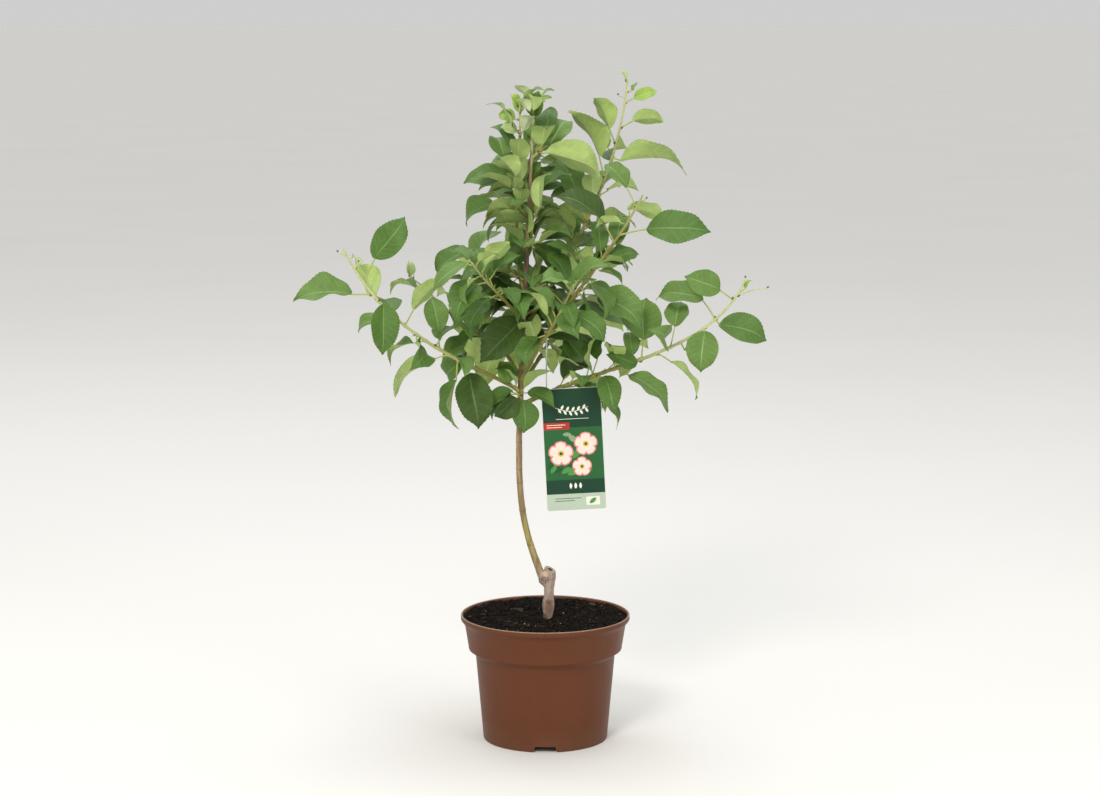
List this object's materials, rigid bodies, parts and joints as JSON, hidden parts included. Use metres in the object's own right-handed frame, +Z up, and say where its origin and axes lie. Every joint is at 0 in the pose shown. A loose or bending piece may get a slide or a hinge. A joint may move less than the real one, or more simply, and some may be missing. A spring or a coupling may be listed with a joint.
{
  "type": "dwarf fruit tree in a nursery pot",
  "caption": "Young grafted dwarf fruit tree with an open leafy crown, standing in a brown plastic nursery pot of compost, with a hanging plant label.",
  "frame": {"origin": "centre of the pot's flat underside, where the pot stands", "axes": "+Z up along the plant's height; -Y towards the front of the plant; +X to its right as seen from the front"},
  "size_m": [0.581, 0.4013, 0.8293],
  "materials": {
    "pot": "satin moulded polypropylene",
    "compost": "moist crumbly peat compost",
    "bark": "rough grey-brown bark, smoother above the graft",
    "young_bark": "smooth olive and brown young bark",
    "foliage": "satin green leaves with paler undersides",
    "card": "printed plastic card",
    "strap": "thin pale plastic strap"
  },
  "bodies": {
    "root": {"bough_back_high": "young_bark", "bough_back_left": "young_bark", "bough_back_right": "young_bark", "bough_front_left": "young_bark", "bough_front_right": "young_bark", "bough_low_left": "young_bark", "bough_low_right": "young_bark", "bough_mid_left": "young_bark", "bough_mid_right": "young_bark", "bough_upper_right": "young_bark", "label": "card", "label_tie": "strap", "leaves_back_high": "foliage", "leaves_back_high_spur": "foliage", "leaves_back_left": "foliage", "leaves_back_low_spur": "foliage", "leaves_back_middle_spur": "foliage", "leaves_back_right": "foliage", "leaves_front_left": "foliage", "leaves_front_right": "foliage", "leaves_front_spur": "foliage", "leaves_high_left_spur": "foliage", "leaves_high_right_spur": "foliage", "leaves_inner_spur": "foliage", "leaves_low_left": "foliage", "leaves_low_right": "foliage", "leaves_low_spur": "foliage", "leaves_mid_left": "foliage", "leaves_mid_right": "foliage", "leaves_middle_left_spur": "foliage", "leaves_middle_right_spur": "foliage", "leaves_right_spur": "foliage", "leaves_second_leader": "foliage", "leaves_top": "foliage", "leaves_upper_front_spur": "foliage", "leaves_upper_left_spur": "foliage", "leaves_upper_right": "foliage", "pot": "pot", "second_leader": "young_bark", "soil": "compost", "trunk": "bark"}
  },
  "joints": []
}
